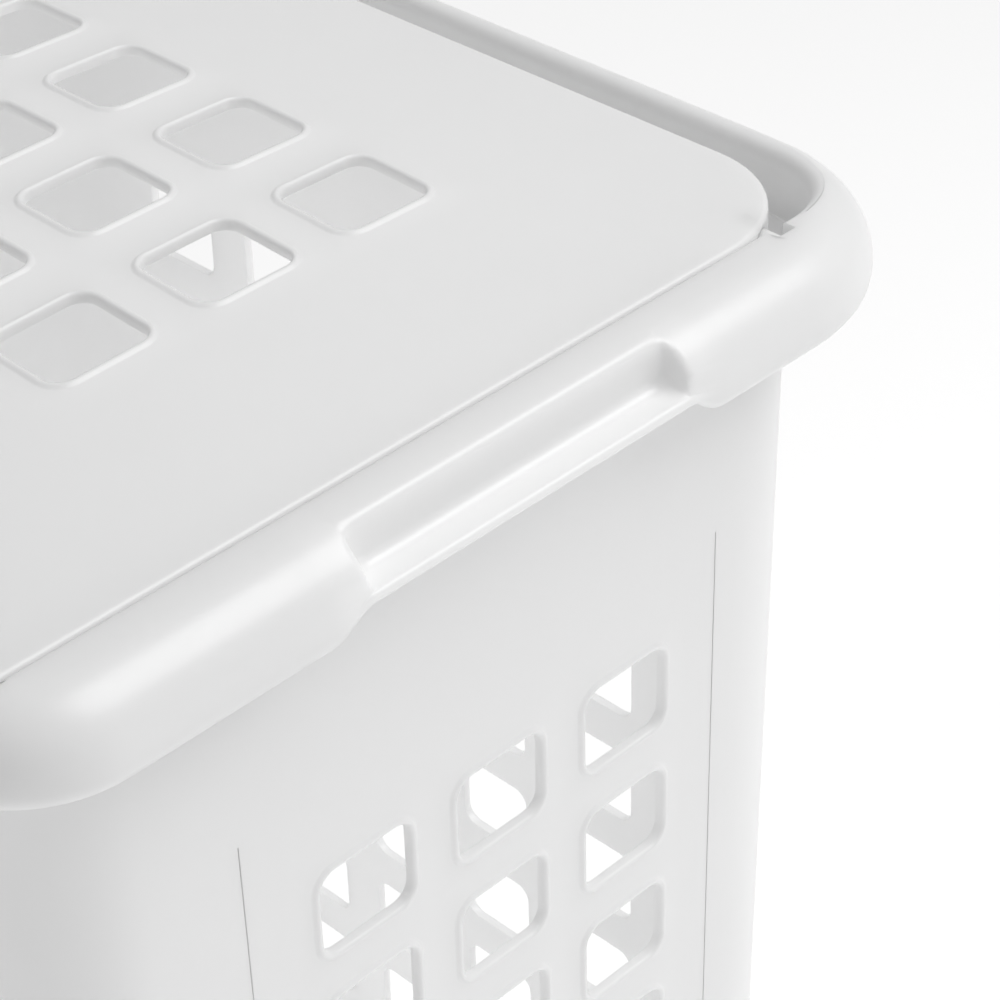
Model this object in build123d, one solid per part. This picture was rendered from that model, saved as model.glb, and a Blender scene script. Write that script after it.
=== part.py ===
# Laundry hamper with a hinged lid, in two plastic mouldings: a tapered bin with a bullnose rim,
# and a crowned lid that turns on two stub pins. The bin's moulding is written as sections that
# meet face to face: base plate, wall panels, corner posts and rim sections.
# Frame: +Z up, front (the lid's free edge) is -Y, hinge side is +Y, grips are at -X and +X.
# The origin is on the floor under the middle of the hamper. Sizes are in millimetres.
import math
import os

from build123d import *

# ---- lid ----
lid_hole_columns = 5          # along X
lid_hole_rows = 3             # along Y
lid_pitch_x = 48.5
lid_pitch_y = 46.8
lid_hole_x = 29.0
lid_hole_y = 31.0
hole_corner = 6.0
lid_margin_x = 89.0           # centre of the outermost holes to the lid's edge
lid_margin_y = 84.8
lid_corner = 36.0             # hinge-side corners
lid_front_corner = 8.0
lid_front_reach = 13.0        # the lid runs this much further out at its free edge
lid_sheet = 2.6
lid_lip_depth = 7.0           # downturned edge, measured from the top of the lid's edge
lid_crown = 6.3               # rise of the middle above the edge
lid_below_rim = 0.5           # the lid's edge lies this far below the rim's top

# ---- bin ----
height = 600.0
wall = 2.6
wall_offset = 7.5             # outer wall surface beyond the lid's edge, under the rim
wall_corner = 50.0            # outer radius of the hinge-side vertical corners, under the rim
wall_front_corner = 27.0
draft_degrees = 1.8
base_sheet = 3.0
base_round = 2.0
wall_pitch = 43.0             # hole rows on the walls, in height
wall_hole_rows = 10
wall_hole_width = 30.5
wall_hole_height = 27.5
top_row_drop = 119.0          # centre of the top hole row below the rim's top
end_hole_columns = 3
side_hole_columns = 5

# ---- rim ----
rim_reach = 25.5              # outermost line of the rim beyond the lid's edge
rim_height = 24.0
rim_top_round = 17.0
rim_under_round = 6.0
rim_corner = 57.0             # outer radius of the rim's hinge-side corners
rim_front_corner = 34.0
rim_skin = 2.6
lid_gap = 1.2                 # between the lid's edge and the rim
seat_width = 7.0              # ledge that carries the lid, measured inwards from the lid's edge
seat_front_corner = 4.0
seat_clearance = 0.3
back_gap = 10.0               # channel between the lid's hinge edge and the rim
back_gap_depth = 21.0
back_gap_corner = 28.0
back_gap_behind_pin = 5.5     # the channel's ends lie this far behind the pin axis

# ---- grip recess, in the middle of each end rim ----
grip_length = 110.0
grip_face = 14.5              # upright face of the recess beyond the lid's edge
grip_lip = 25.0               # outer lip of its floor beyond the lid's edge
grip_depth = 13.5

# ---- hinge ----
pin_from_back = 22.0          # pin axis to the lid's hinge edge
pin_below_rim = 6.0
pin_radius = 3.5
pin_length = 4.5              # beyond the lid's edge
pin_root = 8.0                # length inside the lid's edge
pin_running_fit = 0.05
pin_end_clearance = 0.5
socket_half_width = 7.0       # thickened part of the rim around a pin
socket_below_pin = 7.0

# ---- worked out ----
lid_length = (lid_hole_columns - 1) * lid_pitch_x + 2 * lid_margin_x
lid_width = (lid_hole_rows - 1) * lid_pitch_y + 2 * lid_margin_y
draft = math.tan(math.radians(draft_degrees))
wall_top = height - rim_height
post_x = lid_length / 2 + wall_offset - wall_corner     # where corners meet panels
post_y = lid_width / 2 + wall_offset - wall_corner
rim_post_x = lid_length / 2 + rim_reach - rim_corner    # where rim corners meet straight rims
rim_post_y = lid_width / 2 + rim_reach - rim_corner
ledge_end_y = post_y
lid_edge_top = height - lid_below_rim
seat_top = lid_edge_top - lid_lip_depth - seat_clearance
seat_under = seat_top - wall
pin_y = lid_width / 2 - pin_from_back
pin_z = height - pin_below_rim
over = 1.0                    # how far a cut runs past what it cuts
far = 2 * height              # longer than anything here
wall_corners = (wall_front_corner, wall_corner)
rim_corners = (rim_front_corner, rim_corner)
lid_corners = (lid_front_corner, lid_corner)


def grown(corners, beyond):
    """Front and hinge-side corner radii of an outline that is grown by a distance."""
    return tuple(radius + beyond for radius in corners)


def outline(beyond, corners, level, front=0):
    """Rounded rectangle beyond the lid's edge, with its front edge moved out, at a height."""
    x_size = lid_length + 2 * beyond
    y_size = lid_width + 2 * beyond + front
    sketch = Pos(0, -front / 2) * Rectangle(x_size, y_size)
    sketch = fillet(sketch.vertices().group_by(Axis.Y)[0], corners[0])
    sketch = fillet(sketch.vertices().group_by(Axis.Y)[-1], corners[1])
    return Pos(0, 0, level) * sketch


def prism(beyond, corners, bottom, top, front=0):
    """Upright solid on an outline."""
    return extrude(outline(beyond, corners, bottom, front), top - bottom)


def lid_prism(beyond, bottom, top):
    """Upright solid on the lid's own outline, grown by a distance."""
    return prism(beyond, grown(lid_corners, beyond), bottom, top, lid_front_reach)


def block(x_range, y_range, z_range):
    """Box between three pairs of limits."""
    ranges = [sorted(limits) for limits in (x_range, y_range, z_range)]
    middle = [(low + high) / 2 for low, high in ranges]
    return Pos(*middle) * Box(*[high - low for low, high in ranges])


def tapered(inset, bottom, top):
    """Solid inside the bin's outer surface, set in by a distance, between two heights."""
    faces = []
    for level in (bottom, top):
        beyond = wall_offset - inset - draft * (wall_top - level)
        faces.append(outline(beyond, grown(wall_corners, beyond - wall_offset), level))
    return loft(faces, ruled=True)


# ---- base and walls ----
def base_plate():
    plate = tapered(0, 0, base_sheet)
    return fillet(plate.edges().group_by(Axis.Z)[0], base_round)


def wall_panel(shell, half_span, columns, pitch, turn):
    """Panel between two corners with its hole grid; turn is its direction's angle from -Y."""
    region = block((-half_span, half_span), (-far, 0), (base_sheet, wall_top))
    panel = Rot(0, 0, -turn) * shell & region
    hole = extrude(Plane.XZ * RectangleRounded(wall_hole_width, wall_hole_height, hole_corner), far)
    for row in range(wall_hole_rows):
        for column in range(columns):
            across = (column - (columns - 1) / 2) * pitch
            panel -= Pos(across, 0, height - top_row_drop - row * wall_pitch) * hole
    return Rot(0, 0, turn) * panel


def wall_sections():
    shell = tapered(0, base_sheet, wall_top) - tapered(wall, base_sheet - over, wall_top + over)
    front = wall_panel(shell, post_x, side_hole_columns, lid_pitch_x, 0)
    right = wall_panel(shell, post_y, end_hole_columns, lid_pitch_y, 90)
    post = shell & block((post_x, far), (-far, -post_y), (base_sheet, wall_top))
    other_post = mirror(post, Plane.XZ)
    return {
        "wall_panel_front": front,
        "wall_panel_back": mirror(front, Plane.XZ),
        "wall_panel_right": right,
        "wall_panel_left": mirror(right, Plane.YZ),
        "corner_post_front_right": post,
        "corner_post_front_left": mirror(post, Plane.YZ),
        "corner_post_back_right": other_post,
        "corner_post_back_left": mirror(other_post, Plane.YZ),
    }


# ---- rim ----
def round_level(solid, level, radius):
    """Rounds the outer edges that lie at a height."""
    edges = solid.edges().filter_by(lambda edge: abs(edge.center().Z - level) < 0.01)
    return fillet(edges, radius)


def bullnose(inset):
    """Solid of the rim's outer shape, set in by a distance all round."""
    low = wall_top + inset
    high = height - inset
    solid = prism(rim_reach - inset, grown(rim_corners, -inset), low, high)
    solid = round_level(solid, high, rim_top_round - inset)
    return round_level(solid, low, rim_under_round - inset)


def channel(around):
    """Space behind and beside the lid at the hinge, grown by a skin."""
    x_size = lid_length + 2 * (lid_gap + around)
    y_size = lid_width + 2 * (back_gap + around)
    bottom = height - back_gap_depth - around
    corner_radius = back_gap_corner + around
    solid = extrude(Pos(0, 0, bottom) * RectangleRounded(x_size, y_size, corner_radius), far)
    return solid & block((-far, far), (pin_y + back_gap_behind_pin - around, far), (0, height + over))


def socket_pad():
    """Thickened rim round the +X pin's socket."""
    edge = lid_length / 2
    return block((edge + lid_gap, edge + wall_offset + rim_skin),
                 (pin_y - socket_half_width, pin_y + socket_half_width),
                 (pin_z - socket_below_pin, height))


def pin_slot():
    """Socket for the +X pin, open upwards so that the lid drops in."""
    radius = pin_radius + pin_running_fit
    start = lid_length / 2
    depth = pin_length + pin_end_clearance
    bore = Pos(start + depth / 2, pin_y, pin_z) * Rot(0, 90, 0) * Cylinder(radius, depth)
    return bore + block((start, start + depth), (pin_y - radius, pin_y + radius), (pin_z, height + over))


def both_ends(solid):
    return [solid, mirror(solid, Plane.YZ)]


def grip_space():
    """Everything outside the upright face of the +X grip recess."""
    half = grip_length / 2
    return block((lid_length / 2 + grip_face, far), (-half, half), (0, far))


def grip_walls():
    """Upright face, floor with its lip, and the two cheeks of the +X grip recess."""
    half = grip_length / 2
    face = lid_length / 2 + grip_face
    floor = height - grip_depth
    span = (-half, half)
    walls = block((face - rim_skin, face), span, (floor - rim_skin, height))
    walls += block((face - rim_skin, lid_length / 2 + grip_lip), span, (floor - rim_skin, floor))
    for side in (-1, 1):
        cheek = (side * half, side * (half + rim_skin))
        walls += bullnose(0) & block((face - rim_skin, far), cheek, (0, far))
    return walls


def whole_rim():
    """Flange and rolled skirt, with the lid's seat, hinge channel, pin sockets and grips."""
    under = rim_reach - rim_under_round
    hollow = bullnose(rim_skin)
    under_corners = grown(rim_corners, -rim_under_round)
    hollow += prism(under, under_corners, wall_top - over, wall_top + rim_skin + over)
    hollow -= prism(wall_offset, wall_corners, wall_top - 2 * over, height)
    hollow -= [channel(rim_skin), lid_prism(lid_gap + rim_skin, seat_under, height)]
    hollow -= both_ends(socket_pad())

    inside = wall_offset - wall
    cavity = prism(inside, grown(wall_corners, -wall), wall_top - over, seat_under)
    cavity -= both_ends(socket_pad())
    seat_corners = (seat_front_corner, lid_corner - seat_width)
    seat_hole = prism(-seat_width, seat_corners, seat_under - over, seat_top + over, lid_front_reach)
    recess = lid_prism(lid_gap, seat_top, height + over)
    edge = lid_length / 2 + lid_gap
    behind_ledge = block((-edge, edge), (ledge_end_y, pin_y + back_gap_behind_pin + over),
                         (seat_under, height + over))

    rim = bullnose(0) - hollow - cavity - seat_hole - recess - behind_ledge - channel(0)
    rim = rim - both_ends(grip_space()) + both_ends(grip_walls())
    return rim - both_ends(pin_slot())


def rim_sections():
    rim = whole_rim()
    levels = (0, far)
    middle_x = (-rim_post_x, rim_post_x)
    middle_y = (-rim_post_y, rim_post_y)
    end = rim & block((rim_post_x, far), middle_y, levels)
    front_corner = rim & block((rim_post_x, far), (-far, -rim_post_y), levels)
    back_corner = rim & block((rim_post_x, far), (rim_post_y, far), levels)
    return {
        "rim_right_grip": end,
        "rim_left_grip": mirror(end, Plane.YZ),
        "rim_front": rim & block(middle_x, (-far, -rim_post_y), levels),
        "rim_back_channel": rim & block(middle_x, (rim_post_y, far), levels),
        "rim_corner_front_right": front_corner,
        "rim_corner_front_left": mirror(front_corner, Plane.YZ),
        "rim_corner_back_right": back_corner,
        "rim_corner_back_left": mirror(back_corner, Plane.YZ),
    }


# ---- lid ----
def crowned_sheet():
    """Sheet whose top rises smoothly from the straight edges to the middle."""
    steps = 8
    rows = []
    for i in range(-steps, steps + 1):
        x = i / steps * (lid_length / 2 + over)
        row = []
        for j in range(-steps, steps + 1):
            edge = lid_width / 2 + (lid_front_reach if j < 0 else 0)
            y = j / steps * (edge + over)
            rise = lid_crown * (1 - (2 * x / lid_length) ** 2) * (1 - (y / edge) ** 2)
            row.append(Vector(x, y, lid_edge_top + rise))
        rows.append(row)
    top = Face.make_surface_from_array_of_points(rows)
    return extrude(top, lid_sheet, dir=(0, 0, -1))


def lid_moulding():
    """Lid with its hole grid, downturned edge and the two pins that it turns on."""
    lip_bottom = lid_edge_top - lid_lip_depth
    sheet = crowned_sheet() & lid_prism(0, lip_bottom, height + lid_crown)
    lip = lid_prism(0, lip_bottom, lid_edge_top - lid_sheet / 2)
    lip -= lid_prism(-lid_sheet, lip_bottom - over, height)
    lid = sheet + lip
    hole = extrude(RectangleRounded(lid_hole_x, lid_hole_y, hole_corner), far, both=True)
    for column in range(lid_hole_columns):
        for row in range(lid_hole_rows):
            x = (column - (lid_hole_columns - 1) / 2) * lid_pitch_x
            y = (row - (lid_hole_rows - 1) / 2) * lid_pitch_y
            lid -= Pos(x, y, 0) * hole
    reach = pin_root + pin_length
    for sign in (-1, 1):
        middle = sign * (lid_length / 2 + pin_length - reach / 2)
        lid += Pos(middle, pin_y, pin_z) * Rot(0, 90, 0) * Cylinder(pin_radius, reach)
    return lid


def build():
    parts = {"base_plate": base_plate()}
    parts.update(wall_sections())
    parts.update(rim_sections())
    parts["lid"] = lid_moulding()
    return parts


os.makedirs("parts", exist_ok=True)
for name, shape in build().items():
    export_step(shape, "parts/" + name + ".step")
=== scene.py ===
# Looks of the laundry hamper: one bin moulding and one lid moulding with its two pins.
# The object's sizes are in millimetres, in the row frame, and become metres in build_piece.
# Lights, floor and camera are in metres.
import math

import bmesh
import bpy
from mathutils import Matrix, Vector


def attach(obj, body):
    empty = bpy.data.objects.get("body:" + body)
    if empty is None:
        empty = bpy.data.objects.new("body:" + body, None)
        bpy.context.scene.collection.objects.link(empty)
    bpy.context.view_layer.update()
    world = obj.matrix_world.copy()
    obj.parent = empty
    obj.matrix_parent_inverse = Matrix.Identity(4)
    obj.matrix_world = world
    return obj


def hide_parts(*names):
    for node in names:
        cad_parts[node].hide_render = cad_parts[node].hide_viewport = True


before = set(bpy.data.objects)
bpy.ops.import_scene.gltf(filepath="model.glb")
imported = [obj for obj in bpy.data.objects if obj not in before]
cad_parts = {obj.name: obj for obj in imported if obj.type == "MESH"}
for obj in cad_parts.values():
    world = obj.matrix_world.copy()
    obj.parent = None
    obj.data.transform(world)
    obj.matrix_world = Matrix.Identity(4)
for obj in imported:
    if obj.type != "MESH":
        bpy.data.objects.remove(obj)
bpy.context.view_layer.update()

# ---- sizes shared with the CAD model ----
LID_X = 186.0            # half length of the lid
LID_Y = 131.6            # from the middle to the lid's hinge edge
LID_FRONT = 144.6        # from the middle to the lid's free edge
LID_CORNER = 36.0
LID_FRONT_CORNER = 8.0
LID_EDGE_TOP = 599.5
LID_LIP_BOTTOM = 592.5
LID_CROWN = 6.3
LID_HOLE = (14.5, 15.5)  # half sizes along X and Y
SHEET = 2.6
PITCH_X = 48.5
PITCH_Y = 46.8
COLUMNS_X = 5
COLUMNS_Y = 3

# Corners of the walls and of the rim are arcs. A radius below leaves out how far the wall or
# the rim stands beyond the lid's edge, and the arc's centre follows from it.
TOP = 600.0
WALL_TOP = 576.0
WALL_OFFSET = 7.5        # outer wall beyond the lid's edge, under the rim
DRAFT = math.tan(math.radians(1.8))
CORE_RADIUS = 42.5
CORE_X = LID_X - CORE_RADIUS
CORE_Y = LID_Y - CORE_RADIUS
FRONT_CORE_RADIUS = 19.5
FRONT_CORE_X = LID_X - FRONT_CORE_RADIUS
FRONT_CORE_Y = FRONT_CORE_RADIUS - LID_Y
WALL_HOLE = (15.25, 13.75)           # half sizes along the wall and up it
WALL_PITCH = 43.0
WALL_ROWS = 10
TOP_ROW = 481.0
BASE = 3.0
BASE_ROUND = 2.0

REACH = 25.5             # rim beyond the lid's edge
TOP_ROUND = 17.0
UNDER_ROUND = 6.0
RIM_RADIUS = 31.5
RIM_CORE = (LID_X - RIM_RADIUS, LID_Y - RIM_RADIUS)
RIM_FRONT_RADIUS = 8.5
RIM_FRONT_CORE = (LID_X - RIM_FRONT_RADIUS, RIM_FRONT_RADIUS - LID_Y)
GAP = 1.2                # between the lid and its recess, but for the hinge side
BACK_GAP = 10.0
BACK_CORNER = 28.0
CHANNEL_FLOOR = 579.0
CHANNEL_START = 115.1
SEAT_TOP = 592.2
SEAT_UNDER = SEAT_TOP - SHEET
SEAT_WIDTH = 7.0
SEAT_FRONT_CORNER = 4.0
LEDGE_END = 89.1         # the seat along the lid's ends stops here, along Y
PIN_Y = 109.6
PIN_Z = 594.0
PIN_RADIUS = 3.5
PIN_END = 190.5
SOCKET_RADIUS = 3.55
SOCKET_END = 191.0
RECESS_CORNER_Y = LID_FRONT_CORNER - LID_FRONT
GRIP_HALF = 55.0
GRIP_FACE = 14.5
GRIP_LIP = 25.0
GRIP_FLOOR = 586.5

# ---- looks only ----
HOLE_CORNER = 5.2
LID_EDGE_ROUND = 1.6
EDGE_ROUND = 1.2         # rounding of the recess's top edge
CHANNEL_ROUND = 3.3      # added to it along the hinge channel
FLOOR_ROUND = 3.0        # inside, round the bin's floor
SMALL_ROUND = 0.4
FIELD_CLEAR = 572.0      # the wall is one plain band from its holes up to here
CORNER_STEPS = 16        # a wall's corner
TOP_STEPS = 24           # the rim's top arc
ARC_STEPS = 3            # half of a hole's corner
SIDE_STEPS = 3           # straight part of a hole's side
CELL_STEPS = 2 * ARC_STEPS + SIDE_STEPS
# Bead round a hole, as distance from its edge and height over the sheet's outer face.
BEAD = [(2.7, 0.0), (2.4, 0.07), (2.1, 0.28), (1.8, 0.56), (1.4, 0.82), (1.0, 0.9),
        (0.6, 0.8), (0.25, 0.5), (0.05, 0.1), (0.0, -0.4)]
# Softened inner edge of a hole, as distance from its edge and height over the inner face.
HOLE_FOOT = [(0.0, 0.5), (0.15, 0.15), (0.5, 0.0)]


class Mesh:
    """Points and faces of one moulding."""

    def __init__(self):
        self.points = []
        self.faces = []

    def strip(self, rows, closed=False):
        """Joins rows of points with quads; closed joins each row's end to its start."""
        width = len(rows[0])
        first = len(self.points)
        for row in rows:
            self.points.extend(row)
        last = width if closed else width - 1
        for j in range(len(rows) - 1):
            for i in range(last):
                a = first + j * width + i
                b = first + j * width + (i + 1) % width
                self.faces.append((a, b, b + width, a + width))

    def plate(self, ring):
        """Flat face inside a ring of points."""
        first = len(self.points)
        self.points.extend(ring)
        self.faces.append(tuple(range(first, first + len(ring))))


def spread(low, high, steps):
    return [low + (high - low) * i / steps for i in range(steps + 1)]


def line(start, end, steps):
    return list(zip(spread(start[0], end[0], steps), spread(start[1], end[1], steps)))


def arc(centre, radius, start, end, steps):
    """Points of an arc; angles in degrees, from the first axis."""
    angles = [math.radians(a) for a in spread(start, end, steps)]
    return [(centre[0] + radius * math.cos(a), centre[1] + radius * math.sin(a)) for a in angles]


def join(*runs):
    """One run of points from several that share their ends."""
    points = list(runs[0])
    for run in runs[1:]:
        points.extend(run[1:])
    return points


# ---- hole cells ----
def cell_boundary(middle, half):
    """Points round a cell, anticlockwise from its low corner."""
    (u, v), (a, b) = middle, half
    steps = CELL_STEPS
    return (line((u - a, v - b), (u + a, v - b), steps)[:-1]
            + line((u + a, v - b), (u + a, v + b), steps)[:-1]
            + line((u + a, v + b), (u - a, v + b), steps)[:-1]
            + line((u - a, v + b), (u - a, v - b), steps)[:-1])


def opening(middle, half, beyond):
    """Rounded rectangle with the same number of points, grown by a distance."""
    radius = HOLE_CORNER + beyond
    a = half[0] + beyond - radius
    b = half[1] + beyond - radius
    corners = [(-a, -b, 225), (a, -b, 315), (a, b, 45), (-a, b, 135)]
    points = []
    for index, (u, v, angle) in enumerate(corners):
        nu, nv, _ = corners[(index + 1) % 4]
        leaving = arc((middle[0] + u, middle[1] + v), radius, angle, angle + 45, ARC_STEPS)
        arriving = arc((middle[0] + nu, middle[1] + nv), radius, angle + 45, angle + 90,
                       ARC_STEPS)
        points.extend(join(leaving, line(leaving[-1], arriving[0], SIDE_STEPS), arriving)[:-1])
    return points


def hole_cell(mesh, middle, cell_half, hole_half, place):
    """One cell of a perforated sheet: outer face, bead, edge of the hole and inner face."""
    boundary = cell_boundary(middle, cell_half)
    rows = [[place(u, v, 0.0) for u, v in boundary]]
    for beyond, rise in BEAD:
        rows.append([place(u, v, rise) for u, v in opening(middle, hole_half, beyond)])
    for beyond, rise in HOLE_FOOT:
        rows.append([place(u, v, rise - SHEET) for u, v in opening(middle, hole_half, beyond)])
    rows.append([place(u, v, -SHEET) for u, v in boundary])
    mesh.strip(rows, closed=True)


def centres(count, pitch):
    return [(i - (count - 1) / 2) * pitch for i in range(count)]


def panel_positions(low, high, count, pitch):
    """Positions along a panel from one corner to the other, with the cells' own steps."""
    half = count * pitch / 2
    field = spread(-half, half, count * CELL_STEPS)
    return join(spread(low, -half, 3), field, spread(half, high, 3))


# ---- walls and base ----
def wall_beyond(z):
    return WALL_OFFSET - DRAFT * (WALL_TOP - z)


def around_core(front_xs, back_xs, ys):
    """Stations round the bin from the front left: a corner's centre, radius and direction."""
    turns = spread(0, 90, CORNER_STEPS)[1:-1]
    corners = []
    for cx, cy, radius, start in ((FRONT_CORE_X, FRONT_CORE_Y, FRONT_CORE_RADIUS, -90),
                                  (CORE_X, CORE_Y, CORE_RADIUS, 0),
                                  (-CORE_X, CORE_Y, CORE_RADIUS, 90),
                                  (-FRONT_CORE_X, FRONT_CORE_Y, FRONT_CORE_RADIUS, 180)):
        angles = [math.radians(start + t) for t in turns]
        corners.append([(cx, cy, radius, math.cos(a), math.sin(a)) for a in angles])
    stations = [(x, FRONT_CORE_Y, FRONT_CORE_RADIUS, 0.0, -1.0) for x in front_xs]
    stations += corners[0] + [(CORE_X, y, CORE_RADIUS, 1.0, 0.0) for y in ys]
    stations += corners[1] + [(x, CORE_Y, CORE_RADIUS, 0.0, 1.0) for x in reversed(back_xs)]
    stations += corners[2] + [(-CORE_X, y, CORE_RADIUS, -1.0, 0.0) for y in reversed(ys)]
    return stations + corners[3]


def wall_point(station, beyond, z):
    cx, cy, radius, nx, ny = station
    return (cx + nx * (radius + beyond), cy + ny * (radius + beyond), z)


def wall_ring(stations, beyond, z):
    return [wall_point(s, beyond, z) for s in stations]


def wall_height(station):
    """The wall ends under the seat, and lower down under the hinge channel."""
    return CHANNEL_FLOOR - SMALL_ROUND if station[4] > 0.45 else SEAT_UNDER


def perforated(long_count, short_count):
    """Numbers of the stations at which a step across the perforated fields starts."""
    corner = CORNER_STEPS - 1
    panels = [(0, long_count, COLUMNS_X),
              (long_count + corner, short_count, COLUMNS_Y),
              (long_count + short_count + 2 * corner, long_count, COLUMNS_X),
              (2 * long_count + short_count + 3 * corner, short_count, COLUMNS_Y)]
    covered = set()
    for start, width, columns in panels:
        first = start + (width - 1 - columns * CELL_STEPS) // 2
        covered.update(range(first, first + columns * CELL_STEPS))
    return covered


def plain_runs(stations, covered):
    """Runs of neighbouring stations between the perforated fields."""
    runs = [[]]
    for i in range(len(stations) + 1):
        runs[-1].append(stations[i % len(stations)])
        if i in covered:
            runs.append([])
    return [run for run in runs if len(run) > 1]


def wall_cells(mesh):
    """The perforated fields of the four walls."""
    def on_long_wall(sign):
        return lambda u, z, out: (-sign * u, sign * (LID_Y + wall_beyond(z) + out), z)

    def on_end_wall(sign):
        return lambda u, z, out: (sign * (LID_X + wall_beyond(z) + out), sign * u, z)

    for sign in (-1, 1):
        for place, columns, pitch in ((on_long_wall(sign), COLUMNS_X, PITCH_X),
                                      (on_end_wall(sign), COLUMNS_Y, PITCH_Y)):
            for row in range(WALL_ROWS):
                for u in centres(columns, pitch):
                    middle = (u, TOP_ROW - row * WALL_PITCH)
                    hole_cell(mesh, middle, (pitch / 2, WALL_PITCH / 2), WALL_HOLE, place)


def base(mesh, stations):
    """The rounded foot with the underside, and the floor inside."""
    foot = wall_beyond(BASE_ROUND) - BASE_ROUND
    inner = wall_beyond(BASE + FLOOR_ROUND) - SHEET - FLOOR_ROUND
    for centre, radius in (((foot, BASE_ROUND), BASE_ROUND),
                           ((inner, BASE + FLOOR_ROUND), FLOOR_ROUND)):
        rings = [wall_ring(stations, b, z) for b, z in arc(centre, radius, 0, -90, 5)]
        mesh.strip(rings, closed=True)
        mesh.plate(rings[-1])


def walls(mesh):
    front_xs = panel_positions(-FRONT_CORE_X, FRONT_CORE_X, COLUMNS_X, PITCH_X)
    back_xs = panel_positions(-CORE_X, CORE_X, COLUMNS_X, PITCH_X)
    ys = panel_positions(FRONT_CORE_Y, CORE_Y, COLUMNS_Y, PITCH_Y)
    stations = around_core(front_xs, back_xs, ys)
    plain = plain_runs(stations, perforated(len(back_xs), len(ys)))
    field_top = TOP_ROW + WALL_PITCH / 2
    field_bottom = field_top - WALL_ROWS * WALL_PITCH
    field = spread(field_bottom, field_top, WALL_ROWS * CELL_STEPS)
    below = spread(BASE + FLOOR_ROUND, field_bottom, 4)
    above = spread(field_top, FIELD_CLEAR, 4)

    for inset in (0.0, SHEET):
        for levels in (below, above):
            rings = [wall_ring(stations, wall_beyond(z) - inset, z) for z in levels]
            mesh.strip(rings, closed=True)
        tops = [(s, wall_height(s)) for s in stations]
        end = [wall_point(s, wall_beyond(z) - inset, z) for s, z in tops]
        mesh.strip([rings[-1], end], closed=True)
        for run in plain:
            mesh.strip([wall_ring(run, wall_beyond(z) - inset, z) for z in field])
    levels = (BASE_ROUND, BASE + FLOOR_ROUND)
    mesh.strip([wall_ring(stations, wall_beyond(z), z) for z in levels], closed=True)
    wall_cells(mesh)
    base(mesh, stations)


def witness_lines(mesh):
    """Hair-thin raised mould lines down the two end walls."""
    section = ((-0.2, -0.3), (-0.1, 0.08), (0.1, 0.08), (0.2, -0.3))
    for sign in (-1, 1):
        for y in (-85.0, 82.0):
            rows = []
            for z in spread(20.0, 521.0, 24):
                x = LID_X + wall_beyond(z)
                rows.append([(sign * (x + out), y + across, z) for across, out in section])
            mesh.strip(rows, closed=True)


# ---- rim ----
def edge_round(y):
    """Rounding of the recess's top edge, which is softer behind the hinge."""
    return EDGE_ROUND + CHANNEL_ROUND * min(1.0, max(0.0, (y - CHANNEL_START) / 22.0))


def rim_profiles(recess_edge, rounding):
    """Rim section and grip section as (beyond the lid's edge, height), point for point."""
    shoulder = max(WALL_OFFSET, recess_edge + SHEET)
    foot = WALL_TOP + SMALL_ROUND
    inner_round = TOP_ROUND - SHEET
    bend = REACH - TOP_ROUND
    turn = REACH - UNDER_ROUND
    under_z = WALL_TOP + UNDER_ROUND
    roof_angle = math.degrees(math.acos(max(0.0, shoulder - bend) / inner_round))
    roof = TOP - TOP_ROUND + inner_round * math.sin(math.radians(roof_angle))
    end_angle = math.degrees(math.acos(max(0.0, recess_edge + rounding - bend) / TOP_ROUND))
    curl = UNDER_ROUND - SHEET
    curl_z = under_z - curl
    hidden = join(
        [(WALL_OFFSET, foot), (shoulder, foot), (shoulder, roof)],
        line((shoulder, roof), (max(bend, shoulder), roof), 1),
        arc((bend, TOP - TOP_ROUND), inner_round, roof_angle, 0, 5),
        line((REACH - SHEET, TOP - TOP_ROUND), (REACH - SHEET, under_z), 1),
        arc((turn, under_z), curl, 0, -90, 4),
    )
    edge = join(
        [(turn, curl_z), (turn - 0.6, curl_z - 0.5), (turn - 0.6, WALL_TOP + 0.5), (turn, WALL_TOP)],
        arc((turn, under_z), UNDER_ROUND, -90, 0, 6),
        line((REACH, under_z), (REACH, TOP - TOP_ROUND), 1),
    )
    top = arc((bend, TOP - TOP_ROUND), TOP_ROUND, 0, end_angle, TOP_STEPS)
    rim = join(hidden, edge, top)

    lip = 1.6
    lip_x = GRIP_LIP - lip
    lip_z = GRIP_FLOOR - lip + 0.3
    fillet = 3.0
    crest = 2.2
    grip_hidden = line((WALL_OFFSET, lip_z - lip), (lip_x, lip_z - lip), len(hidden) - 1)
    grip_edge = arc((lip_x, lip_z), lip, -90, 60, len(edge) - 1)
    lip_top = arc((lip_x, lip_z), lip, 60, 100, 4)
    corner = arc((GRIP_FACE + fillet, GRIP_FLOOR + fillet), fillet, 270, 184, 6)
    grip_top = join(
        lip_top,
        line(lip_top[-1], corner[0], 4),
        corner,
        line(corner[-1], (GRIP_FACE, TOP - crest), 3),
        arc((GRIP_FACE - crest, TOP - crest), crest, 0, 90, 6),
        line((GRIP_FACE - crest, TOP), (bend, TOP), 1),
    )
    return rim, join(grip_hidden, grip_edge, grip_top)


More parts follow.
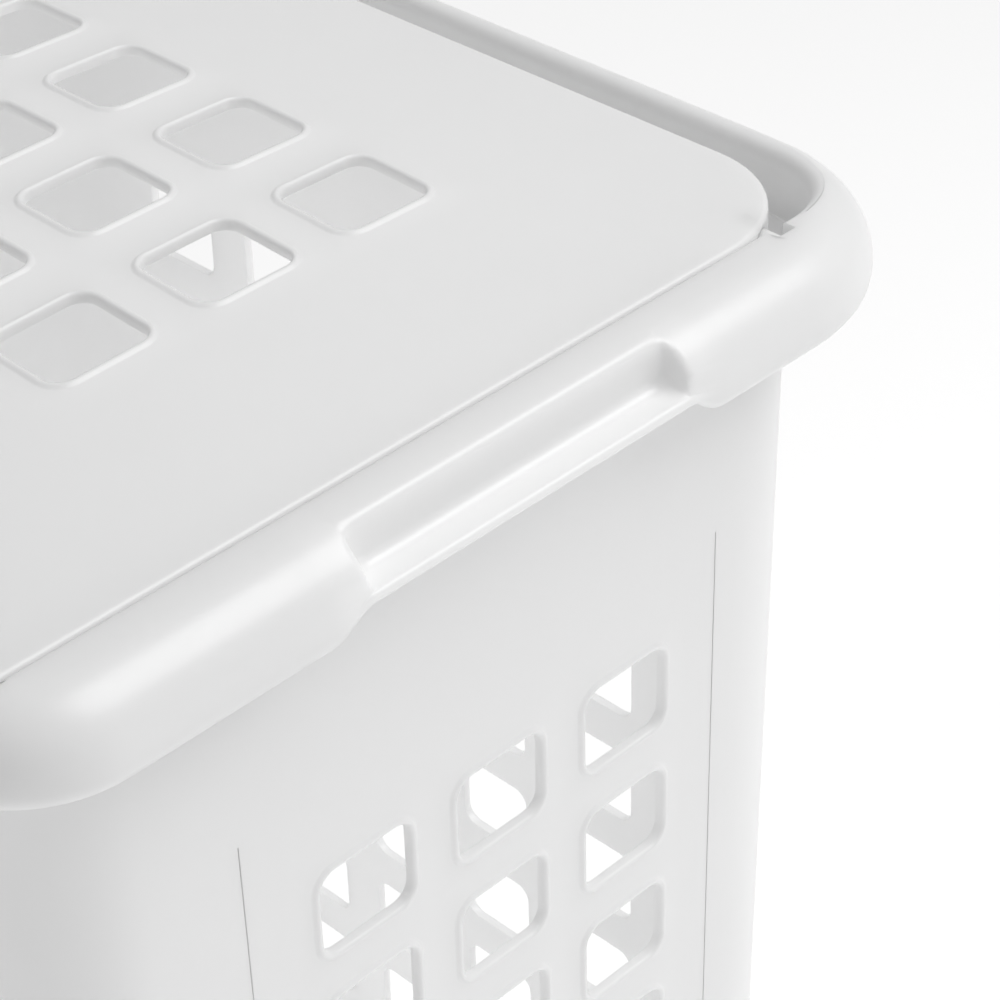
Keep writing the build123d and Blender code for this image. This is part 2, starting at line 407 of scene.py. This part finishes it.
def cheek(radius_top, radius_foot, drop):
    """Steps of a cheek: distance along Y and share of the way from rim to recess."""
    steep = 78
    slope = math.radians(steep)
    steps = [(radius_top * math.sin(math.radians(a)), radius_top * (1 - math.cos(math.radians(a))))
             for a in spread(0, steep, 7)]
    y, fall = steps[-1]
    straight = drop - radius_foot * (1 - math.cos(slope)) - fall
    run = straight / math.tan(slope)
    steps += [(y + run * t, fall + straight * t) for t in (0.33, 0.66)]
    foot = y + run + radius_foot * math.sin(slope)
    for a in spread(steep, 0, 8):
        angle = math.radians(a)
        steps.append((foot - radius_foot * math.sin(angle),
                      drop - radius_foot * (1 - math.cos(angle))))
    return [(along, down / drop) for along, down in steps], steps[-1][0]


def rim_stations():
    """Stations of the lid's recess, from the middle of the front to the middle of the back."""
    steps, length = cheek(radius_top=2.6, radius_foot=6.5, drop=12.0)
    start = GRIP_HALF + 0.4
    inside = start - length
    corner_end = RIM_FRONT_CORE[1]
    before_grip = spread(RECESS_CORNER_Y, corner_end, 14)[1:]
    before_grip += spread(corner_end, -start - 1.0, 28)[1:]
    after_grip = spread(start + 1.0, LEDGE_END - 0.1, 16)
    after_grip += spread(LEDGE_END + 0.1, PIN_Y - 4.1, 9)
    in_socket = (-1.005, -0.999, -0.9, -0.6, -0.2, 0.2, 0.6, 0.9, 0.999, 1.005)

    side = [(y, 0.0) for y in before_grip]
    side += [(along - start, share) for along, share in steps]
    side += [(y, 1.0) for y in spread(-inside, inside, 12)[1:-1]]
    side += [(start - along, share) for along, share in reversed(steps)]
    side += [(y, 0.0) for y in after_grip]
    side += [(PIN_Y + SOCKET_RADIUS * t, 0.0) for t in in_socket]

    # Two stations stand close together at the angle where the hinge channel starts.
    back_angles = [0.0, 3.0, 3.2] + spread(6, 90, 21)
    stations = [("front", x, 0.0) for x in spread(0, LID_X - LID_FRONT_CORNER, 10)]
    stations += [("front_corner", angle, 0.0) for angle in spread(0, 90, 16)[1:]]
    stations += [("side", y, share) for y, share in side]
    stations += [("back_corner", angle, 0.0) for angle in back_angles]
    return stations + [("back", x, 0.0) for x in spread(LID_X + GAP - BACK_CORNER, 0, 10)[1:]]


def on_outline(station, half_x, front_y, back_y, front_radius, back_radius):
    kind, value = station[0], station[1]
    angle = math.radians(value)
    if kind == "front":
        return (min(value, half_x - front_radius), -front_y)
    if kind == "back":
        return (value, back_y)
    if kind == "side":
        return (half_x, max(value, front_radius - front_y))
    if kind == "front_corner":
        return (half_x - front_radius + front_radius * math.sin(angle),
                -front_y + front_radius - front_radius * math.cos(angle))
    return (half_x - back_radius + back_radius * math.cos(angle),
            back_y - back_radius + back_radius * math.sin(angle))


def rim_direction(x, y):
    """The rim's corner or side next to a point of the recess: centre, radius and direction."""
    centre, radius = (RIM_CORE, RIM_RADIUS) if y > 0 else (RIM_FRONT_CORE, RIM_FRONT_RADIUS)
    past_x = x - centre[0]
    past_y = abs(y) - abs(centre[1])
    if past_y <= 0:
        return (LID_X - radius, y), radius, (1.0, 0.0)
    if past_x <= 0:
        return (x, centre[1]), radius, (0.0, math.copysign(1.0, y))
    distance = math.hypot(past_x, past_y)
    return centre, radius, (past_x / distance, math.copysign(past_y / distance, y))


def cavity_point(x, y):
    """The bin's inner wall seen from a point of the recess above it."""
    if y > 0:
        centre, radius = (min(x, CORE_X), min(y, CORE_Y)), CORE_RADIUS
    else:
        centre, radius = (min(x, FRONT_CORE_X), max(y, FRONT_CORE_Y)), FRONT_CORE_RADIUS
    distance = math.hypot(x - centre[0], y - centre[1])
    share = (radius + WALL_OFFSET - SHEET) / distance
    return (centre[0] + (x - centre[0]) * share, centre[1] + (y - centre[1]) * share)


def skirt_share(y):
    """How far the skirt has turned into the grip's lip, along Y."""
    t = min(1.0, max(0.0, (GRIP_HALF + 10.0 - abs(y)) / 13.0))
    return t * t * (3 - 2 * t)


def recess_point(station, grown, z):
    """Point of the lid's recess, grown by a distance."""
    x, y = on_outline(station, LID_X + GAP + grown, LID_FRONT + GAP + grown,
                      LID_Y + BACK_GAP + grown, LID_FRONT_CORNER + GAP + grown,
                      BACK_CORNER + grown)
    return (x, y, z)


def flange_points(station, x, y):
    """The rim from under its flange up to the recess, blended into the grip beside it."""
    centre, radius, (nx, ny) = rim_direction(x, y)
    edge = (x - centre[0]) * nx + (y - centre[1]) * ny - radius
    rim_section, grip_section = rim_profiles(edge, edge_round(y))
    below = skirt_share(y) if station[0] == "side" else 0.0
    top_start = len(rim_section) - TOP_STEPS - 1
    points = []
    for index, ((b0, z0), (b1, z1)) in enumerate(zip(rim_section, grip_section)):
        up = min(1.0, max(0.0, (index - top_start) / 8.0))
        share = below + (station[2] - below) * up
        reach = radius + b0 + (b1 - b0) * share
        points.append((centre[0] + nx * reach, centre[1] + ny * reach, z0 + (z1 - z0) * share))
    return points


def at_socket(station, y):
    return station[0] == "side" and abs(y - PIN_Y) < SOCKET_RADIUS


def recess_foot(station, y):
    """Height at which the recess's wall ends: on a socket, the seat, the channel or the ledge."""
    if at_socket(station, y):
        return PIN_Z - math.sqrt(SOCKET_RADIUS ** 2 - (y - PIN_Y) ** 2)
    if y < LEDGE_END:
        return SEAT_TOP
    return CHANNEL_FLOOR if y > CHANNEL_START else SEAT_UNDER


def recess_wall(station, x, y, crest):
    """The recess's softened top edge and its wall, or the pin's socket in it."""
    level = recess_foot(station, y)
    if at_socket(station, y):
        points = [(SOCKET_END + 0.5 - g, y, TOP - g) for g in spread(0.0, 0.5, 6)]
        return points + [(SOCKET_END, y, level), (x, y, level)]
    rounding = edge_round(y)
    points = []
    for angle in spread(0, 90, 6):
        turn = math.radians(angle)
        points.append(recess_point(station, rounding * (1 - math.sin(turn)),
                                   crest - rounding * (1 - math.cos(turn))))
    points.append(recess_point(station, 0.0, level + SMALL_ROUND))
    return points + [recess_point(station, -SMALL_ROUND, level)]


def seat_edge(station):
    """Inner edge of the seat, from its top to its underside."""
    points = []
    for g, z in ((0.5, SEAT_TOP), (0.0, SEAT_TOP - 0.5), (0.0, SEAT_UNDER)):
        x, y = on_outline(station, LID_X - SEAT_WIDTH + g, LID_FRONT - SEAT_WIDTH + g, LID_Y,
                          SEAT_FRONT_CORNER + g, LID_CORNER)
        points.append((x, y, z))
    return points


def rim_column(station):
    """All points of the rim at one station, from under its flange to under the lid's seat."""
    x, y, _ = recess_point(station, 0.0, 0.0)
    points = flange_points(station, x, y)
    points += recess_wall(station, x, y, points[-1][2])
    end = cavity_point(x, y) + (min(recess_foot(station, y), SEAT_UNDER),)
    return points + (seat_edge(station) if y < LEDGE_END else [end] * 3) + [end]


def rim(mesh):
    """Both halves of the rim, from the stations of the right-hand one."""
    half = [rim_column(station) for station in rim_stations()]
    mirrored = [[(-x, y, z) for x, y, z in column] for column in reversed(half)]
    rows = [list(row) for row in zip(*(half + mirrored[1:-1]))]
    mesh.strip(rows, closed=True)


# ---- lid ----
def crown(x, y):
    edge = LID_Y if y > 0 else LID_FRONT
    return LID_EDGE_TOP + LID_CROWN * (1 - (x / LID_X) ** 2) * (1 - (y / edge) ** 2)


def lid_outline(station, inset):
    """Point of the lid's outline, set in by a distance."""
    kind, side, value = station
    if kind == "corner":
        (sx, sy), angle = side, math.radians(value)
        radius = LID_CORNER if sy > 0 else LID_FRONT_CORNER
        core_y = (LID_Y if sy > 0 else LID_FRONT) - radius
        return (sx * (LID_X - radius + (radius - inset) * math.cos(angle)),
                sy * (core_y + (radius - inset) * math.sin(angle)))
    if kind == "along_x":
        return (value, LID_Y - inset if side > 0 else inset - LID_FRONT)
    return (side * (LID_X - inset), value)


def lid_margin_pairs(xs, ys):
    """Points of the hole field's boundary, each with a station of the lid's outline."""
    def corner(sx, sy, along_x_first):
        point = (xs[-1] * sx, ys[-1] * sy)
        radius = LID_CORNER if sy > 0 else LID_FRONT_CORNER
        core_y = (LID_Y if sy > 0 else LID_FRONT) - radius
        run = [("along_x", sy, sx * x) for x in spread(xs[-1], LID_X - radius, 5)[1:-1]]
        run += [("corner", (sx, sy), a) for a in spread(90, 0, 16)]
        run += [("along_y", sx, sy * y) for y in spread(core_y, ys[-1], 5)[1:-1]]
        if not along_x_first:
            run.reverse()
        return [(point, station) for station in run]

    pairs = [((x, ys[0]), ("along_x", -1, x)) for x in xs]
    pairs += corner(1, -1, True)
    pairs += [((xs[-1], y), ("along_y", 1, y)) for y in ys]
    pairs += corner(1, 1, False)
    pairs += [((x, ys[-1]), ("along_x", 1, x)) for x in reversed(xs)]
    pairs += corner(-1, 1, True)
    pairs += [((xs[0], y), ("along_y", -1, y)) for y in reversed(ys)]
    return pairs + corner(-1, -1, False)


def margin_rows(pairs, inset, drop):
    """Rows from the hole field out to the lid's edge, on the top or on the underside."""
    rows = []
    for t in spread(0, 1, 9):
        row = []
        for (x, y), station in pairs:
            ox, oy = lid_outline(station, inset)
            px, py = x + (ox - x) * t, y + (oy - y) * t
            row.append((px, py, crown(px, py) - drop))
        rows.append(row)
    return rows


def lid(mesh):
    half_x = COLUMNS_X * PITCH_X / 2
    half_y = COLUMNS_Y * PITCH_Y / 2
    xs = spread(-half_x, half_x, COLUMNS_X * CELL_STEPS)
    ys = spread(-half_y, half_y, COLUMNS_Y * CELL_STEPS)

    def place(x, y, out):
        return (x, y, crown(x, y) + out)

    for x in centres(COLUMNS_X, PITCH_X):
        for y in centres(COLUMNS_Y, PITCH_Y):
            hole_cell(mesh, (x, y), (PITCH_X / 2, PITCH_Y / 2), LID_HOLE, place)

    pairs = lid_margin_pairs(xs, ys)
    stations = [station for _, station in pairs]
    lip_end = LID_LIP_BOTTOM + SMALL_ROUND

    def lip_row(inset, z):
        return [lid_outline(s, inset) + (z,) for s in stations]

    top = margin_rows(pairs, LID_EDGE_ROUND, 0.0)
    for angle in spread(0, 90, 7)[1:]:
        turn = math.radians(angle)
        row = []
        for s in stations:
            ox, oy = lid_outline(s, LID_EDGE_ROUND * (1 - math.sin(turn)))
            edge = crown(*lid_outline(s, LID_EDGE_ROUND))
            row.append((ox, oy, edge - LID_EDGE_ROUND * (1 - math.cos(turn))))
        top.append(row)
    mesh.strip(top + [lip_row(0.0, lip_end)], closed=True)

    under = margin_rows(pairs, SHEET, SHEET)
    under.append([(x, y, lip_end) for x, y, _ in under[-1]])
    under.append(lip_row(SHEET - SMALL_ROUND, LID_LIP_BOTTOM))
    under.append(lip_row(SMALL_ROUND, LID_LIP_BOTTOM))
    mesh.strip(under + [lip_row(0.0, lip_end)], closed=True)


def pins(mesh):
    """The two stub pins with softened ends, as distance along X and radius."""
    profile = ((176.0, PIN_RADIUS), (PIN_END - 0.8, PIN_RADIUS), (PIN_END - 0.5, PIN_RADIUS - 0.1),
               (PIN_END - 0.15, PIN_RADIUS - 0.45), (PIN_END, PIN_RADIUS - 0.9), (PIN_END, 0.01))
    for sign in (-1, 1):
        rows = []
        for x, radius in profile:
            ring = arc((PIN_Y, PIN_Z), radius, 0, 360, 32)[:-1]
            rows.append([(sign * x, y, z) for y, z in ring])
        mesh.strip(rows, closed=True)


# ---- materials ----
def plastic(name, colour, roughness, patch_scale):
    """Semi-gloss moulded plastic with faint cloudiness, uneven gloss and a fine surface ripple."""
    material = bpy.data.materials.new(name)
    material.use_nodes = True
    nodes = material.node_tree.nodes
    links = material.node_tree.links
    shader = nodes["Principled BSDF"]
    place = nodes.new("ShaderNodeTexCoord")

    def texture(scale, detail):
        node = nodes.new("ShaderNodeTexNoise")
        node.inputs["Scale"].default_value = scale
        node.inputs["Detail"].default_value = detail
        links.new(place.outputs["Object"], node.inputs["Vector"])
        return node.outputs["Fac"]

    ramp = nodes.new("ShaderNodeValToRGB")
    ramp.color_ramp.elements[0].position = 0.3
    ramp.color_ramp.elements[1].position = 0.7
    ramp.color_ramp.elements[0].color = [c * 0.975 for c in colour] + [1.0]
    ramp.color_ramp.elements[1].color = list(colour) + [1.0]
    links.new(texture(patch_scale, 3.0), ramp.inputs["Fac"])
    links.new(ramp.outputs["Color"], shader.inputs["Base Color"])

    gloss = nodes.new("ShaderNodeMapRange")
    gloss.inputs["To Min"].default_value = roughness - 0.05
    gloss.inputs["To Max"].default_value = roughness + 0.06
    links.new(texture(38.0, 4.0), gloss.inputs["Value"])
    links.new(gloss.outputs["Result"], shader.inputs["Roughness"])

    ripple = nodes.new("ShaderNodeBump")
    ripple.inputs["Strength"].default_value = 0.06
    ripple.inputs["Distance"].default_value = 0.0006
    links.new(texture(120.0, 2.0), ripple.inputs["Height"])
    grain = nodes.new("ShaderNodeBump")
    grain.inputs["Strength"].default_value = 0.03
    grain.inputs["Distance"].default_value = 0.0002
    links.new(texture(1400.0, 2.0), grain.inputs["Height"])
    links.new(ripple.outputs["Normal"], grain.inputs["Normal"])
    links.new(grain.outputs["Normal"], shader.inputs["Normal"])
    shader.inputs["IOR"].default_value = 1.49
    shader.inputs["Subsurface Weight"].default_value = 0.7
    shader.inputs["Subsurface Radius"].default_value = (1.0, 1.0, 1.0)
    shader.inputs["Subsurface Scale"].default_value = 0.006
    return material


def build_piece(name, makers, material, body, replaced):
    """One visible piece in metres, from what its makers add to a mesh."""
    source = Mesh()
    for make in makers:
        make(source)
    data = bpy.data.meshes.new(name)
    data.from_pydata([Vector(p) * 0.001 for p in source.points], [], source.faces)
    piece = bpy.data.objects.new(name, data)
    bpy.context.scene.collection.objects.link(piece)
    bm = bmesh.new()
    bm.from_mesh(data)
    bmesh.ops.remove_doubles(bm, verts=bm.verts, dist=0.00001)
    bmesh.ops.recalc_face_normals(bm, faces=bm.faces)
    bm.to_mesh(data)
    bm.free()
    data.shade_smooth()
    data.set_sharp_from_angle(angle=math.radians(40))
    data.materials.append(material)
    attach(piece, body)
    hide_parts(*replaced)


# ---- stage ----
def area_light(name, place, aim, size, power):
    """Round area light, aimed at a point."""
    light = bpy.data.lights.new(name, "AREA")
    light.shape = "DISK"
    light.size = size
    light.energy = power
    lamp = bpy.data.objects.new(name, light)
    lamp.location = place
    lamp.rotation_euler = (Vector(aim) - Vector(place)).to_track_quat("-Z", "Y").to_euler()
    bpy.context.scene.collection.objects.link(lamp)


def fill_light(name, place, radius, power):
    """Soft light inside the bin, for the glow of daylight through translucent walls."""
    light = bpy.data.lights.new(name, "POINT")
    light.shadow_soft_size = radius
    light.energy = power
    lamp = bpy.data.objects.new(name, light)
    lamp.location = place
    lamp.visible_camera = False
    lamp.visible_glossy = False
    bpy.context.scene.collection.objects.link(lamp)


def studio():
    """White surroundings, a large light overhead, the fill lights and a white floor."""
    world = bpy.data.worlds.new("studio")
    world.use_nodes = True
    background = world.node_tree.nodes["Background"]
    background.inputs["Color"].default_value = (1.0, 1.0, 1.0, 1.0)
    background.inputs["Strength"].default_value = 0.34
    bpy.context.scene.world = world
    area_light("key", place=(0.85, 0.8, 2.25), aim=(0.1, 0.0, 0.5), size=1.6, power=26.0)
    fill_light("fill_low", place=(0.0, 0.0, 0.17), radius=0.1, power=0.24)
    fill_light("fill_high", place=(0.0, 0.0, 0.42), radius=0.1, power=0.24)
    bpy.context.scene.view_settings.view_transform = "Standard"

    bpy.ops.mesh.primitive_plane_add(size=30.0)
    floor = bpy.context.object
    floor.name = "floor"
    material = bpy.data.materials.new("floor")
    material.use_nodes = True
    shader = material.node_tree.nodes["Principled BSDF"]
    shader.inputs["Base Color"].default_value = (0.8, 0.8, 0.8, 1.0)
    shader.inputs["Roughness"].default_value = 0.9
    shader.inputs["Emission Color"].default_value = (1.0, 1.0, 1.0, 1.0)
    shader.inputs["Emission Strength"].default_value = 0.46
    floor.data.materials.append(material)


def camera(place, azimuth, elevation, roll, lens):
    """Camera looking from an azimuth and elevation, tipped about its own axis."""
    az, el, tip = (math.radians(a) for a in (azimuth, elevation, roll))
    forward = Vector((-math.sin(az) * math.cos(el), math.cos(az) * math.cos(el), -math.sin(el)))
    level = forward.cross(Vector((0, 0, 1))).normalized()
    upright = level.cross(forward)
    right = level * math.cos(tip) + upright * math.sin(tip)
    up = right.cross(forward)
    data = bpy.data.cameras.new("camera")
    data.lens = lens
    data.sensor_width = 36.0
    data.clip_start = 0.01
    view = bpy.data.objects.new("camera", data)
    turn = Matrix((right, up, -forward)).transposed().to_4x4()
    view.matrix_world = Matrix.Translation(place) @ turn
    bpy.context.scene.collection.objects.link(view)
    bpy.context.scene.camera = view


bin_nodes = [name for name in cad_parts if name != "lid"]
bin_plastic = plastic("bin_plastic", (0.92, 0.92, 0.92), 0.30, 9.0)
lid_plastic = plastic("lid_plastic", (0.92, 0.92, 0.92), 0.32, 11.0)
build_piece("bin_moulding", (walls, rim), bin_plastic, "bin", bin_nodes)
build_piece("mould_lines", (witness_lines,), bin_plastic, "bin", [])
build_piece("lid_moulding", (lid, pins), lid_plastic, "lid", ["lid"])
studio()
camera(place=(0.60915, -0.38596, 0.97912), azimuth=46.904, elevation=35.413, roll=-3.147,
       lens=105.31)
